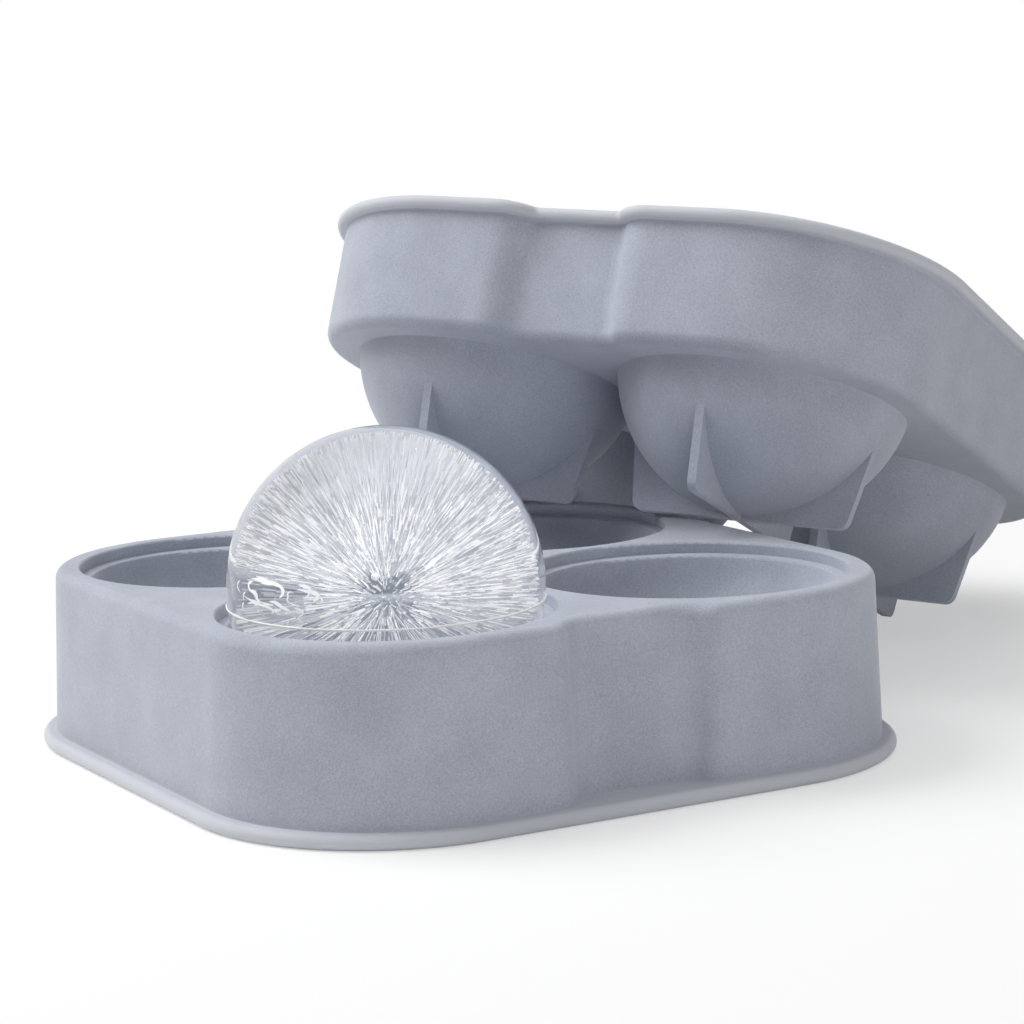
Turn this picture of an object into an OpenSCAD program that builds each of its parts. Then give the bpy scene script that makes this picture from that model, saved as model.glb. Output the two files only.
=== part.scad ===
// Silicone mold for four ice balls: a base tray, a lid that presses over it, and one frozen ball.
// Millimetres. The base stands on the floor at z = 0 and its centre is the origin.
// The lid is drawn cups down, propped on the base behind the ball, with its far fins on the floor.

/* [Ball and cups] */
// diameter of one ice ball
ball_d = 45; // [38:0.5:50]
// air between the ball and the cup that holds it
ball_gap = 0.3; // [0.2:0.05:0.6]
// thickness of the cup walls
cup_wall = 1.6; // [1.2:0.1:2.4]
// height of the ball's centre above the base plate
ball_rise = 3.1; // [1:0.1:5]
// diameter of the clouded middle of the ball, where the last air froze in
cloud_d = 32.4; // [24:0.2:33]
// distance of the clouded middle's centre below the ball's centre
cloud_drop = 1.6; // [0:0.1:2]
// gap between the clouded middle and the clear ice round it
cloud_gap = 0.1; // [0.05:0.05:0.3]

/* [Cup mouths] */
// width of the ledge round each base cup
ledge_w = 1.85; // [1.4:0.05:3]
// depth of that ledge below the base plate
ledge_d = 1.9; // [1:0.1:3]
// rounding of the upper edge of the mouth
mouth_r = 0.5; // [0.2:0.05:0.9]
// rounding of the inner edge of the ledge
ledge_r = 0.45; // [0.2:0.05:0.6]
// strip left between two neighbouring mouths
mouth_land = 1.8; // [1.2:0.1:6]
// flat left between a mouth and the outer wall
edge_land = 3.4; // [2.6:0.1:8]

/* [Base tray] */
// height of the cup bottoms above the floor
cup_floor_gap = 5.9; // [1:0.1:12]
// thickness of the base plate
plate_t = 3.6; // [3:0.1:5]
// thickness of the base skirt
wall_t = 2; // [1.4:0.1:2.4]
// lean of the skirts away from upright, in degrees
draft = 2.2; // [0.5:0.1:2.5]
// corner radius of the base plate
corner_r = 26.5; // [18:0.5:28]
// rounding of the plate's outer edge
edge_r = 1.8; // [0.8:0.1:2]
// reach of the foot bead beyond the skirt
bead_w = 2; // [1.4:0.1:4]
// thickness of the foot bead
bead_t = 2.2; // [1.4:0.1:3]

/* [Side recesses] */
// depth of the recess in the middle of the front and back sides
recess_d = 3.6; // [3.3:0.1:4.8]
// distance from the middle of a side to the middle of the ramp
recess_half = 10.5; // [8:0.5:14]

/* [Lid] */
// thickness of the lid plate
lid_plate_t = 2.6; // [2:0.1:4]
// thickness of the lid skirt
lid_wall_t = 1.8; // [1.4:0.1:2.2]
// height of the lid skirt with its bead
lid_skirt_h = 21.8; // [16:0.2:26]
// height of the ball's centre above the underside of the lid plate
lid_centre_h = 4.6; // [3:0.1:5.4]
// rounding where the lid skirt meets the plate
lid_edge_r = 2; // [1:0.1:2.4]
// reach of the lid bead beyond the skirt
lid_bead_w = 1.6; // [1:0.1:1.8]
// thickness of the lid bead
lid_bead_t = 2; // [1.2:0.1:3]
// air between the lid skirt and the base skirt when closed
skirt_fit = 0.5; // [0.3:0.05:0.7]
// air between a lid collar and the wall of its mouth when closed
collar_fit = 0.25; // [0.15:0.05:0.4]
// air under the lid collars when closed
collar_seat = 0.1; // [0:0.05:0.3]

/* [Fins under the lid] */
// thickness of a fin
fin_t = 1.5; // [1:0.1:2.5]
// distance from the fin's lower corner in to the cup's outer radius
fin_inset = 5.4; // [3.5:0.1:8]
// lean of the fin's outer edge, in degrees
fin_lean = 10; // [4:1:14]
// distance that the fins stand below the cups
fin_drop = 0.6; // [0.3:0.1:2]
// rounding of the fin's lower corner
fin_r = 1.8; // [0.8:0.1:2.5]

/* [Propped lid] */
// turn of the lid about the upright, in degrees
lid_yaw = -59; // [-61:0.2:-56]
// distance of the lid's centre beyond the right edge of the base
lid_out = 17; // [15:0.1:18.5]
// distance of the lid's centre in front of the back edge of the base
lid_in = 10; // [9.5:0.1:12.5]
// air where the lid rests on the base and the floor
rest_gap = 0.3; // [0.2:0.05:0.4]

/* [Hidden] */
$fn = 96;
eps = 0.01;
function r3(v) = round(v * 1000) / 1000;

cup_r = ball_d / 2 + ball_gap;
cup_out_r = cup_r + cup_wall;
base_h = r3(cup_floor_gap + cup_wall + cup_r - ball_rise);
ball_z = base_h + ball_rise;
ledge_z = base_h - ledge_d;
ledge_in_r = r3(sqrt(pow(cup_r, 2) - pow(ball_rise + ledge_d, 2)));
mouth_out_r = ledge_in_r + ledge_w;
pitch = 2 * mouth_out_r + mouth_land;
half_top = r3(pitch / 2 + mouth_out_r + edge_land);
draft_k = tan(draft);
// outline at floor level, which every skirt and bead is measured from
half = half_top + r3(base_h * draft_k);
corner = corner_r + r3(base_h * draft_k);
// each ramp is two arcs that turn by the large angle of a 3-4-5 triangle and back
ramp_r = r3(recess_d / 0.8);
x_in = recess_half - 0.8 * ramp_r;
x_out = recess_half + 0.8 * ramp_r;
cup_xy = [[-1, -1], [1, -1], [1, 1], [-1, 1]] * (pitch / 2);

// heights inside the lid, from the underside of its plate
collar_z = lid_centre_h + ball_rise + ledge_d - collar_seat;
collar_r = mouth_out_r - collar_fit;
closed_z = ledge_z + collar_seat + collar_z;
fin_z = lid_centre_h - cup_out_r - fin_drop;
fin_reach = cup_out_r - fin_inset;
// end of the straight run of a fin's foot, where its corner rounding starts
fin_run = fin_reach + fin_r * tan(fin_lean) - fin_r / cos(fin_lean);

// offset of the base skirt's outer face at a height above the floor
function base_u(z) = r3(-z * draft_k);
// offset of the lid skirt's inner and outer faces at a height above the lid plate's underside
function lid_in_u(z) = base_u(closed_z - z) + skirt_fit;
function lid_out_u(z) = lid_in_u(z) + lid_wall_t;

// a profile swept straight along +x from x0 to x1, its outer side towards -y at distance y
module run(x0, x1, y) {
    translate([x0, -y, 0])
        rotate([90, 0, 90])
            linear_extrude(x1 - x0)
                mirror([1, 0])
                    children();
}

// a profile swept a quarter turn round a centre from angle a, its outer side away from the centre or towards it
module quarter(c, r, a, inward = false) {
    translate([c[0], c[1], 0])
        rotate(a)
            rotate_extrude(angle = 90)
                translate([r, 0])
                    mirror([inward ? 1 : 0, 0])
                        children();
}

// the right-hand ramp of a recess: an arc out of its floor and an arc into the side
module ramp() {
    c_in = [x_in, recess_d - half - ramp_r];
    c_out = [x_out, ramp_r - half];
    cut = [[-32, -24], [32, 24], [32, -60], [-32, -60]];
    difference() {
        quarter(c_in, ramp_r, 0, true) children();
        translate([c_in[0], c_in[1], -5])
            linear_extrude(200)
                polygon(cut);
    }
    intersection() {
        quarter(c_out, ramp_r, 180) children();
        translate([c_out[0], c_out[1], -5])
            linear_extrude(200)
                polygon(cut);
    }
}

// the skirt path: four rounded corners, plain left and right sides, and front and back sides that each
// have a recess with S-shaped ramps
module along_skirt() {
    for (k = [0, 2])
        rotate(90 * k) {
            run(-x_in, x_in, half - recess_d) children();
            run(corner - half, -x_out, half) children();
            run(x_out, half - corner, half) children();
            ramp() children();
            mirror([1, 0, 0])
                ramp() children();
        }
    for (k = [1, 3])
        rotate(90 * k)
            run(corner - half, half - corner, half) children();
    for (k = [0:3])
        rotate(90 * k)
            quarter([half - corner, corner - half], corner, -90) children();
}

// the foot path: the same rounded square without the recesses
module along_foot() {
    for (k = [0:3])
        rotate(90 * k) {
            run(corner - half, half - corner, half) children();
            quarter([half - corner, corner - half], corner, -90) children();
        }
}

// the floor of the front and back recesses, level with the foot bead
module recess_floors() {
    for (k = [0, 2])
        rotate(90 * k)
            run(-x_out, x_out, half)
                translate([0.4 - recess_d - wall_t, 0])
                    square([recess_d + wall_t, bead_t]);
}

// half of one recess in plan, at offset u from the skirt path
module recess_half_2d(u) {
    in_r = ramp_r - u;
    out_r = ramp_r + u;
    c_in = [x_in, recess_d - half - ramp_r];
    c_out = [x_out, ramp_r - half];
    mid = c_in + in_r * [0.8, 0.6];
    y_in = recess_d - half - u;
    y_out = -half - u;
    difference() {
        union() {
            polygon([[0, y_in], [x_in, y_in], mid, [x_out, y_out], [x_out, y_out - 2], [0, y_out - 2]]);
            intersection() {
                translate(c_in)
                    circle(in_r);
                translate([x_in, mid[1]])
                    square([mid[0] - x_in, y_in - mid[1]]);
            }
        }
        intersection() {
            translate(c_out)
                circle(out_r);
            translate([mid[0], y_out])
                square([x_out - mid[0], mid[1] - y_out]);
        }
    }
}

// the area inside the skirt path at offset u
module inside_2d(u) {
    s = half + u;
    r = corner + u;
    difference() {
        union() {
            square([2 * s, 2 * (s - r)], center = true);
            square([2 * (s - r), 2 * s], center = true);
            for (x = [-1, 1], y = [-1, 1])
                translate([x * (s - r), y * (s - r)])
                    circle(r);
        }
        for (k = [0, 2])
            rotate(90 * k) {
                recess_half_2d(u);
                mirror([1, 0])
                    recess_half_2d(u);
            }
    }
}

// a bead with a full round on its outer edge, from u0 out to u1 and from z0 up to z1
module bead_2d(u0, u1, z0, z1) {
    r = (z1 - z0) / 2;
    translate([u0, z0])
        square([u1 - r - u0, 2 * r]);
    translate([u1 - r, z0 + r])
        circle(r);
}

// the base skirt: leaning outer face, rounded upper edge and a short run of the plate
module base_skirt_2d() {
    r = edge_r;
    c_u = base_u(base_h - r) - r;
    head_u = base_u(base_h) - wall_t - 0.8;
    polygon([
        [0, 0],
        [c_u + r, base_h - r],
        [c_u, base_h - r],
        [c_u, base_h],
        [head_u, base_h],
        [head_u, base_h - plate_t],
        [base_u(base_h - plate_t) - wall_t, base_h - plate_t],
        [-wall_t, 0]
    ]);
    intersection() {
        translate([c_u, base_h - r])
            circle(r);
        translate([c_u, base_h - r])
            square(r);
    }
}

// the lid skirt, cups down: rounded lower edge, leaning wall and the bead round the rim
module lid_skirt_2d() {
    r = lid_edge_r;
    top = lid_skirt_h;
    c_u = lid_out_u(r) - r;
    foot_u = lid_out_u(0) - r - 1.2;
    polygon([
        [foot_u, 0],
        [c_u, 0],
        [c_u, r],
        [c_u + r, r],
        [lid_out_u(top), top],
        [lid_in_u(top), top],
        [lid_in_u(lid_plate_t), lid_plate_t],
        [foot_u, lid_plate_t]
    ]);
    intersection() {
        translate([c_u, r])
            circle(r);
        translate([c_u, 0])
            square(r);
    }
    bead_2d(lid_in_u(top) + 0.4, lid_out_u(top) + lid_bead_w, top - lid_bead_t, top);
}

// the hollow of one base cup: the ball's bowl, the ledge and the rounded edges of both
module base_hollow() {
    rotate_extrude() {
        intersection() {
            translate([0, ball_z])
                circle(cup_r);
            translate([0, ball_z - cup_r - 1])
                square([cup_r + 1, ledge_z - ball_z + cup_r + 1 + eps]);
        }
        translate([0, ledge_z])
            square([mouth_out_r, ledge_d + 1]);
        difference() {
            translate([ledge_in_r - 0.3, ledge_z - ledge_r])
                square([ledge_r + 0.3, ledge_r + eps]);
            translate([ledge_in_r + ledge_r, ledge_z - ledge_r])
                circle(ledge_r);
        }
        difference() {
            translate([mouth_out_r - eps, base_h - mouth_r])
                square([mouth_r + eps, mouth_r + 1]);
            translate([mouth_out_r + mouth_r, base_h - mouth_r])
                circle(mouth_r);
            translate([mouth_out_r + mouth_r, base_h])
                square([1, 2]);
        }
    }
}

// the outside of one cup: a bowl of radius cup_out_r about height c, from its bottom up to height top
module cup_outside(c, top) {
    rotate_extrude()
        intersection() {
            translate([0, c])
                circle(cup_out_r);
            translate([0, c - cup_out_r - 1])
                square([cup_out_r + 1, top - c + cup_out_r + 1]);
        }
}

// one fin across a cup, upright in the x-z plane: flat foot, rounded corners, leaning outer edges
module fin() {
    k = tan(fin_lean);
    m_r = cup_out_r - cup_wall / 2;
    h = fin_z - lid_centre_h;
    // where the leaning edge runs into the middle of the cup wall
    qa = 1 + k * k;
    qb = fin_reach * k + h;
    qc = fin_reach * fin_reach + h * h - m_r * m_r;
    t = (-qb - sqrt(qb * qb - qa * qc)) / qa;
    c_z = fin_z + fin_r;
    rotate([90, 0, 0])
        linear_extrude(fin_t, center = true)
            for (s = [0, 1])
                mirror([s, 0]) {
                    polygon([
                        [0, fin_z],
                        [fin_run, fin_z],
                        [fin_run, c_z],
                        [fin_run + fin_r * cos(fin_lean), c_z - fin_r * sin(fin_lean)],
                        [fin_reach + t * k, fin_z + t],
                        [0, fin_z + t]
                    ]);
                    translate([fin_run, c_z])
                        circle(fin_r);
                }
}

// The lid settles on the base and the floor: its height and two slopes are moved until the fins of
// its two near cups and of its far cups each stand rest_gap off what carries them.
lid_at = [half_top + lid_out, half_top - lid_in];

function unit(v) = v / norm(v);
function axes_of(s) =
    let (n = unit([-s[1], -s[2], 1]), h = [cos(lid_yaw), sin(lid_yaw), 0], x = unit(h - (h * n) * n))
    [x, cross(n, x), n];
function placed(a, z, p) = [lid_at[0], lid_at[1], z] + p[0] * a[0] + p[1] * a[1] + p[2] * a[2];
// distance from the outer edge of the base plate to a point, positive over the plate
function over_plate(p) =
    let (c = half_top - corner_r, dx = max(abs(p[0]) - c, 0), dy = max(abs(p[1]) - c, 0))
    corner_r - norm([dx, dy]);
// true over the open mouth of a base cup
function over_mouth(p) =
    min([for (c = cup_xy) norm([p[0] - c[0], p[1] - c[1]])]) < mouth_out_r + 0.7 * mouth_r;
// height of the base plate's rounded edge at a distance in from the outer edge
function plate_height(d) =
    d >= edge_r ? base_h : base_h - edge_r + sqrt(max(0, edge_r * edge_r - pow(edge_r - d, 2)));
// the foot of a fin from the cup's axis to the end of its rounded corner
fin_foot = concat(
    [for (t = [0:0.4:fin_run]) [t, fin_z]],
    [for (a = [0:8:80]) [fin_run + fin_r * sin(a), fin_z + fin_r * (1 - cos(a))]]
);
// points along both lower edges of the four fins of a cup
function fin_edges(cup) = [
    for (k = [0:3], w = [-fin_t / 2, fin_t / 2], p = fin_foot)
        let (c = cos(90 * k), n = sin(90 * k))
        [cup[0] + p[0] * c - w * n, cup[1] + p[0] * n + w * c, p[1]]
];
// the entry with the smallest first value
function least(list) = let (m = min([for (e = list) e[0]])) [for (e = list) if (e[0] == m) e][0];
function plate_touch(a, z, cup) =
    let (
        pts = [for (p = fin_edges(cup)) placed(a, z, p)],
        on = [
            for (p = pts)
                let (d = over_plate(p))
                if (d > 0 && !over_mouth(p)) [p[2] - plate_height(d), p[0], p[1]]
        ],
        n = least([for (p = pts) [-over_plate(p), p[0], p[1], p[2] - base_h]])
    )
    len(on) > 0 ? least(on) : [n[3], n[1], n[2]];
function floor_touch(a, z) = least([
    for (i = [2, 3], p = fin_edges(cup_xy[i]))
        let (q = placed(a, z, p))
        [q[2], q[0], q[1]]
]);
function settled(s, n) =
    n == 0 ? s :
    let (
        a = axes_of(s),
        g = [plate_touch(a, s[0], cup_xy[0]), plate_touch(a, s[0], cup_xy[1]), floor_touch(a, s[0])],
        r = [for (e = g) [1, e[1] - lid_at[0], e[2] - lid_at[1]]],
        w = [for (e = g) rest_gap - e[0]],
        det = r[0] * cross(r[1], r[2]),
        d = (w[0] * cross(r[1], r[2]) + w[1] * cross(r[2], r[0]) + w[2] * cross(r[0], r[1])) / det
    )
    settled(s + 0.8 * d, n - 1);
lid_s = settled([37, -0.39, -0.19], 16);
lid_a = axes_of(lid_s);

module base_tray() {
    color([0.60, 0.62, 0.67])
        difference() {
            union() {
                along_skirt()
                    base_skirt_2d();
                along_foot()
                    bead_2d(0.4 - wall_t, bead_w, 0, bead_t);
                recess_floors();
                translate([0, 0, base_h - plate_t])
                    linear_extrude(plate_t)
                        inside_2d(base_u(base_h) - wall_t - 0.3);
                for (c = cup_xy)
                    translate(c)
                        cup_outside(ball_z, base_h - 0.5);
            }
            for (c = cup_xy)
                translate(c)
                    base_hollow();
        }
}

module lid_shape() {
    difference() {
        union() {
            along_skirt()
                lid_skirt_2d();
            linear_extrude(lid_plate_t)
                inside_2d(lid_out_u(0) - lid_edge_r - 0.5);
            for (c = cup_xy)
                translate(c) {
                    cup_outside(lid_centre_h, lid_plate_t - 0.3);
                    cylinder(h = collar_z, r = collar_r);
                    fin();
                    rotate(90)
                        fin();
                }
        }
        for (c = cup_xy)
            translate([c[0], c[1], lid_centre_h])
                sphere(cup_r);
    }
}

module lid() {
    color([0.60, 0.62, 0.67])
        multmatrix([
            [lid_a[0][0], lid_a[1][0], lid_a[2][0], lid_at[0]],
            [lid_a[0][1], lid_a[1][1], lid_a[2][1], lid_at[1]],
            [lid_a[0][2], lid_a[1][2], lid_a[2][2], lid_s[0]],
            [0, 0, 0, 1]
        ])
            lid_shape();
}

// the clear ice: a ball with room for its clouded middle
module ice_ball() {
    color([0.86, 0.89, 0.93])
        translate([cup_xy[0][0], cup_xy[0][1], ball_z])
            difference() {
                sphere(ball_d / 2);
                translate([0, 0, -cloud_drop])
                    sphere(cloud_d / 2 + cloud_gap);
            }
}

module ice_cloud() {
    color([0.94, 0.95, 0.97])
        translate([cup_xy[0][0], cup_xy[0][1], ball_z - cloud_drop])
            sphere(cloud_d / 2);
}

base_tray();
lid();
ice_ball();
ice_cloud();
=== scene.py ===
"""Looks of a silicone ice ball mold: a base tray, its propped lid and one ball of clear ice."""

import logging
import math
import random
from dataclasses import dataclass, field
from enum import Enum
from typing import Any

import bpy
import bmesh
from mathutils import Matrix, Vector, noise


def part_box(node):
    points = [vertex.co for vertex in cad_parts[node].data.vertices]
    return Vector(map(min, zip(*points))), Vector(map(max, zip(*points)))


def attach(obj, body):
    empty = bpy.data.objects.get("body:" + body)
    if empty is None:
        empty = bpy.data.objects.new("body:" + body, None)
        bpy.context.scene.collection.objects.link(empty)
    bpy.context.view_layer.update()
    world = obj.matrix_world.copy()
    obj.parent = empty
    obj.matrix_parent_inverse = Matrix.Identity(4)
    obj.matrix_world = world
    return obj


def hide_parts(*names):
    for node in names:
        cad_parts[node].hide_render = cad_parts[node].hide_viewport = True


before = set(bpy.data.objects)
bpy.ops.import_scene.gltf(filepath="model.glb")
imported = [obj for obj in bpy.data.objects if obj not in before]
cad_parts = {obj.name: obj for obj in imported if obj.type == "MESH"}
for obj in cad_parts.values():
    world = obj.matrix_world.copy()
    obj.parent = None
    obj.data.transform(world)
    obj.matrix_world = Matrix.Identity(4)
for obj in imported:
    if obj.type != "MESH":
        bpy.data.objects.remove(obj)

LOG = logging.getLogger("ice_ball_mold")
MM = 0.001
ICE_IOR = 1.31
WHITE = (1, 1, 1, 1)
# thickness of each half's bead, and the way from the plate to it; the propped lid leans
BASE_BEAD = 2.2 * MM
BASE_RIM_WAY = Vector((0, 0, -1))
LID_BEAD = 2.0 * MM
LID_RIM_WAY = Vector((0.394917, 0.190322, 1))
# inputs of the tree that grows the streaks
STREAK_INPUTS = {
    **dict.fromkeys((
        "Reach", "Drop", "Streaks", "Thickness", "Shortest", "Longest", "Innermost", "Low Share",
        "Clearing", "Disc", "Low Loss"), "NodeSocketFloat"),
    "Seed": "NodeSocketInt",
    "Material": "NodeSocketMaterial",
}


class Body(Enum):
    """The body that carries the ice."""

    BALL = "ball"


class Slot(Enum):
    """The material slot of the ice."""

    ICE = "ice"


class Draw(Enum):
    """Seeds of the random values that each streak draws."""

    LENGTH = 11
    THICKNESS = 12
    DEPTH = 13
    SWAY = 14
    LOSS = 15


def linear(code: str) -> tuple[float, float, float, float]:
    """Turns a colour written as sRGB hex into linear light.

    Args:
        code: Six hex digits, with or without a leading hash.

    Returns:
        Red, green and blue in linear light, and an alpha of 1.
    """
    digits = code.lstrip("#")
    parts = [int(digits[i:i + 2], 16) / 255 for i in (0, 2, 4)]
    # the sRGB curve is a straight line near black and a power above it
    light = [c / 12.92 if c <= 0.04045 else ((c + 0.055) / 1.055) ** 2.4 for c in parts]
    return (light[0], light[1], light[2], 1.0)


def add_node(tree: bpy.types.NodeTree, kind: str, settings: dict[str, Any] | None = None,
             inputs: dict[Any, Any] | None = None) -> bpy.types.Node:
    """Adds one node, sets its properties and fills or links its inputs.

    Args:
        tree: The node tree that gets the node.
        kind: The node's type name.
        settings: Properties of the node by name.
        inputs: Sockets by name or number, each with a value or the output socket that feeds it.

    Returns:
        The new node.
    """
    node = tree.nodes.new(kind)
    for name, value in (settings or {}).items():
        setattr(node, name, value)
    for key, value in (inputs or {}).items():
        if isinstance(value, bpy.types.NodeSocket):
            tree.links.new(value, node.inputs[key])
        else:
            node.inputs[key].default_value = value
    return node


def seen_rays(tree: bpy.types.NodeTree) -> bpy.types.NodeSocket:
    """Tells the rays that are looked along, straight, mirrored or bent, from those that only light.

    Args:
        tree: The node tree that gets the steps.

    Returns:
        A socket that is 1 for rays that are looked along.
    """
    path = add_node(tree, "ShaderNodeLightPath").outputs
    seen = add_node(tree, "ShaderNodeMath", {"operation": "MAXIMUM"}, {
        0: path["Is Camera Ray"], 1: path["Is Glossy Ray"]})
    seen = add_node(tree, "ShaderNodeMath", {"operation": "MAXIMUM"}, {
        0: seen.outputs[0], 1: path["Is Transmission Ray"]})
    return seen.outputs[0]


def new_material(name: str) -> tuple[bpy.types.Material, bpy.types.NodeTree, bpy.types.Node]:
    """Makes an empty node material.

    Args:
        name: The material's name.

    Returns:
        The material, its tree and its output node.
    """
    material = bpy.data.materials.new(name)
    material.use_nodes = True
    tree = material.node_tree
    tree.nodes.clear()
    return material, tree, add_node(tree, "ShaderNodeOutputMaterial")


@dataclass(frozen=True)
class MouldedSilicone:
    """Platinum-cured silicone rubber from a blasted steel mould: matte, soft, with a faint bloom."""

    name: str = "moulded_silicone"
    colour: str = "A6ABB7"
    pale: str = "B4B9C5"
    dark: str = "989DA9"
    # colour of the painted highlight on the thin bead
    bead_highlight: str = "C0C3CA"
    mottle_mm: float = 9.0
    grain_mm: float = 0.55
    speck_mm: float = 0.24
    grain_share: float = 0.35
    speck_share: float = 0.5
    dark_at: float = 0.34
    colour_at: float = 0.5
    pale_at: float = 0.66
    fade_before: float = 0.5 * MM
    fade_after: float = 0.3 * MM
    roughness: float = 0.72
    roughness_spread: float = 0.06
    bump: float = 0.12
    bump_depth: float = 0.06 * MM
    sheen: float = 0.30
    sheen_roughness: float = 0.45
    ior: float = 1.41

    def build(self, half: str, rim_way: Vector, rim_at: float, rim_t: float) -> bpy.types.Material:
        """Builds the silicone material of one half.

        Args:
            half: Name of the half, for the material's name.
            rim_way: Direction from the half's plate to its bead.
            rim_at: Distance of the bead's outer face along that direction.
            rim_t: Thickness of the bead.

        Returns:
            A material with a clouded colour, a blasted grain, a soft sheen and a painted highlight that
            makes the thin bead paler.
        """
        material, tree, output = new_material(f"{self.name}_{half}")
        place = add_node(tree, "ShaderNodeTexCoord").outputs["Object"]
        # clouding of the pigment, about a fingertip wide
        cloud = add_node(tree, "ShaderNodeTexNoise", inputs={
            "Vector": place, "Scale": 1 / (self.mottle_mm * MM), "Detail": 4.0, "Roughness": 0.55})
        # the blasted grain is a tenth of a millimetre, drawn coarser so that it shows
        grain = add_node(tree, "ShaderNodeTexNoise", inputs={
            "Vector": place, "Scale": 1 / (self.grain_mm * MM), "Detail": 2.0, "Roughness": 0.6})
        both = add_node(tree, "ShaderNodeMix", {"data_type": "FLOAT"}, {
            "Factor": self.grain_share, "A": cloud.outputs["Fac"], "B": grain.outputs["Fac"]})
        # dust-fine specks, as fine as the render can show
        speck = add_node(tree, "ShaderNodeTexNoise", inputs={
            "Vector": place, "Scale": 1 / (self.speck_mm * MM), "Detail": 1.0})
        both = add_node(tree, "ShaderNodeMix", {"data_type": "FLOAT"}, {
            "Factor": self.speck_share, "A": both.outputs["Result"], "B": speck.outputs["Fac"]})
        ramp = add_node(tree, "ShaderNodeValToRGB", inputs={"Fac": both.outputs["Result"]})
        ramp.color_ramp.elements[0].position = self.dark_at
        ramp.color_ramp.elements[0].color = linear(self.dark)
        ramp.color_ramp.elements[1].position = self.pale_at
        ramp.color_ramp.elements[1].color = linear(self.pale)
        middle = ramp.color_ramp.elements.new(self.colour_at)
        middle.color = linear(self.colour)
        # painted highlight: the thin bead is painted paler than the wall, standing in for the light its
        # rounded edge catches
        depth = add_node(tree, "ShaderNodeVectorMath", {"operation": "DOT_PRODUCT"}, {0: place, 1: rim_way})
        bead_from = rim_at - rim_t
        thin = add_node(tree, "ShaderNodeMapRange", {"interpolation_type": "SMOOTHSTEP"}, {
            "Value": depth.outputs["Value"], "From Min": bead_from - self.fade_before,
            "From Max": bead_from + self.fade_after})
        tone = add_node(tree, "ShaderNodeMix", {"data_type": "RGBA"}, {
            "Factor": thin.outputs["Result"], 6: ramp.outputs["Color"], 7: linear(self.bead_highlight)})
        rough = add_node(tree, "ShaderNodeMapRange", inputs={
            "Value": grain.outputs["Fac"], "To Min": self.roughness - self.roughness_spread,
            "To Max": self.roughness + self.roughness_spread})
        bump = add_node(tree, "ShaderNodeBump", inputs={
            "Strength": self.bump, "Distance": self.bump_depth, "Height": grain.outputs["Fac"]})
        shader = add_node(tree, "ShaderNodeBsdfPrincipled", inputs={
            "Base Color": tone.outputs[2], "Roughness": rough.outputs["Result"], "IOR": self.ior,
            "Sheen Weight": self.sheen, "Sheen Roughness": self.sheen_roughness, "Sheen Tint": WHITE,
            "Normal": bump.outputs["Normal"]})
        tree.links.new(shader.outputs["BSDF"], output.inputs["Surface"])
        return material


@dataclass(frozen=True)
class ClearIce:
    """Slowly frozen water: clear, smooth and slightly wavy where the mould wall was."""

    name: str = "clear_ice"
    tint: str = "FBFCFD"
    wave_mm: float = 7.0
    wave_bump: float = 0.10
    wave_depth: float = 0.10 * MM
    roughness: float = 0.02

    def build(self) -> bpy.types.Material:
        """Builds the clear ice, which lets light from lamps through to what is inside.

        Returns:
            A refracting material.
        """
        material, tree, output = new_material(self.name)
        place = add_node(tree, "ShaderNodeTexCoord").outputs["Object"]
        wave = add_node(tree, "ShaderNodeTexNoise", inputs={
            "Vector": place, "Scale": 1 / (self.wave_mm * MM), "Detail": 1.0})
        bump = add_node(tree, "ShaderNodeBump", inputs={
            "Strength": self.wave_bump, "Distance": self.wave_depth, "Height": wave.outputs["Fac"]})
        glass = add_node(tree, "ShaderNodeBsdfPrincipled", inputs={
            "Base Color": linear(self.tint), "Roughness": self.roughness, "IOR": ICE_IOR,
            "Transmission Weight": 1.0, "Normal": bump.outputs["Normal"]})
        through = add_node(tree, "ShaderNodeBsdfTransparent", inputs={"Color": linear(self.tint)})
        path = add_node(tree, "ShaderNodeLightPath")
        mix = add_node(tree, "ShaderNodeMixShader", inputs={
            0: path.outputs["Is Shadow Ray"], 1: glass.outputs["BSDF"], 2: through.outputs["BSDF"]})
        tree.links.new(mix.outputs["Shader"], output.inputs["Surface"])
        return material


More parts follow.
